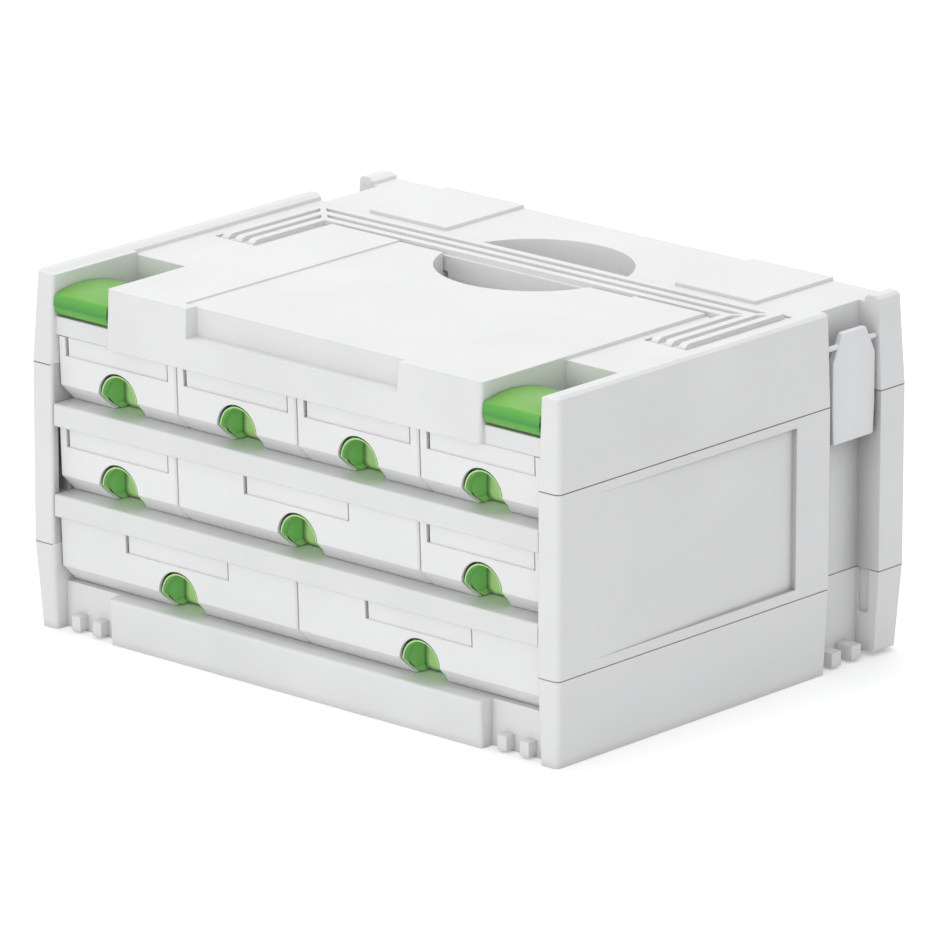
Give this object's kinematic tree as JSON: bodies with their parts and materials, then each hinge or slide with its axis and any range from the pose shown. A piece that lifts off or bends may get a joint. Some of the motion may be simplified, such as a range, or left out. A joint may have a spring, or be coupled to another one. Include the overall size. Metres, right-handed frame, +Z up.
{
  "type": "drawer organizer case",
  "caption": "Stackable moulded organizer case with rows of pull-out drawers, finger grips, a folding carry handle in the lid and swing latches for stacking.",
  "frame": {"origin": "middle of the footprint, on the surface that the case stands on", "axes": "+X to the right seen from the drawer side, +Y from the drawers to the back, +Z up"},
  "size_m": [0.395, 0.295, 0.21],
  "materials": {
    "housing": "fine matte, light grey",
    "drawer": "smooth satin, off-white",
    "white": "smooth satin, white",
    "green": "glossy, slightly translucent green",
    "steel": "zinc plated"
  },
  "bodies": {
    "bottom_1": {"bottom_drawer_1": "drawer", "bottom_grip_1": "green"},
    "bottom_2": {"bottom_drawer_2": "drawer", "bottom_grip_2": "green"},
    "middle_1": {"middle_drawer_1": "drawer", "middle_grip_1": "green"},
    "middle_2": {"middle_drawer_2": "drawer", "middle_grip_2": "green"},
    "middle_3": {"middle_drawer_3": "drawer", "middle_grip_3": "green"},
    "top_1": {"top_drawer_1": "drawer", "top_grip_1": "green"},
    "top_2": {"top_drawer_2": "drawer", "top_grip_2": "green"},
    "top_3": {"top_drawer_3": "drawer", "top_grip_3": "green"},
    "top_4": {"top_drawer_4": "drawer", "top_grip_4": "green"},
    "case": {"base_tray": "housing", "middle_frame": "housing", "top_cover": "housing", "lower_shelf": "housing", "upper_shelf": "housing", "tie_screws": "steel"},
    "handle": {"carry_handle": "housing"},
    "front_latch_left_body": {"front_latch_left": "green"},
    "side_latch_left_body": {"side_latch_left": "white"},
    "front_latch_right_body": {"front_latch_right": "green"},
    "side_latch_right_body": {"side_latch_right": "white"}
  },
  "joints": [
    {"name": "bottom_1_slide", "type": "slide", "parent": "case", "child": "bottom_1", "axis": [0, -1, 0], "range_m": [0, 0.19]},
    {"name": "bottom_2_slide", "type": "slide", "parent": "case", "child": "bottom_2", "axis": [0, -1, 0], "range_m": [0, 0.19]},
    {"name": "middle_1_slide", "type": "slide", "parent": "case", "child": "middle_1", "axis": [0, -1, 0], "range_m": [0, 0.19]},
    {"name": "middle_2_slide", "type": "slide", "parent": "case", "child": "middle_2", "axis": [0, -1, 0], "range_m": [0, 0.19]},
    {"name": "middle_3_slide", "type": "slide", "parent": "case", "child": "middle_3", "axis": [0, -1, 0], "range_m": [0, 0.19]},
    {"name": "top_1_slide", "type": "slide", "parent": "case", "child": "top_1", "axis": [0, -1, 0], "range_m": [0, 0.19]},
    {"name": "top_2_slide", "type": "slide", "parent": "case", "child": "top_2", "axis": [0, -1, 0], "range_m": [0, 0.19]},
    {"name": "top_3_slide", "type": "slide", "parent": "case", "child": "top_3", "axis": [0, -1, 0], "range_m": [0, 0.19]},
    {"name": "top_4_slide", "type": "slide", "parent": "case", "child": "top_4", "axis": [0, -1, 0], "range_m": [0, 0.19]},
    {"name": "handle_hinge", "type": "hinge", "parent": "case", "child": "handle", "pos_m": [0, -0.011, 0.202], "axis": [1, 0, 0], "range_deg": [0, 90]},
    {"name": "front_latch_left_hinge", "type": "hinge", "parent": "case", "child": "front_latch_left_body", "pos_m": [-0.1609, -0.139, 0.1905], "axis": [1, 0, 0], "range_deg": [0, 90]},
    {"name": "side_latch_left_hinge", "type": "hinge", "parent": "case", "child": "side_latch_left_body", "pos_m": [-0.193, 0.1025, 0.188], "axis": [0, 1, 0], "range_deg": [0, 180]},
    {"name": "front_latch_right_hinge", "type": "hinge", "parent": "case", "child": "front_latch_right_body", "pos_m": [0.1609, -0.139, 0.1905], "axis": [1, 0, 0], "range_deg": [0, 90]},
    {"name": "side_latch_right_hinge", "type": "hinge", "parent": "case", "child": "side_latch_right_body", "pos_m": [0.193, 0.1025, 0.188], "axis": [0, -1, 0], "range_deg": [0, 180]}
  ]
}
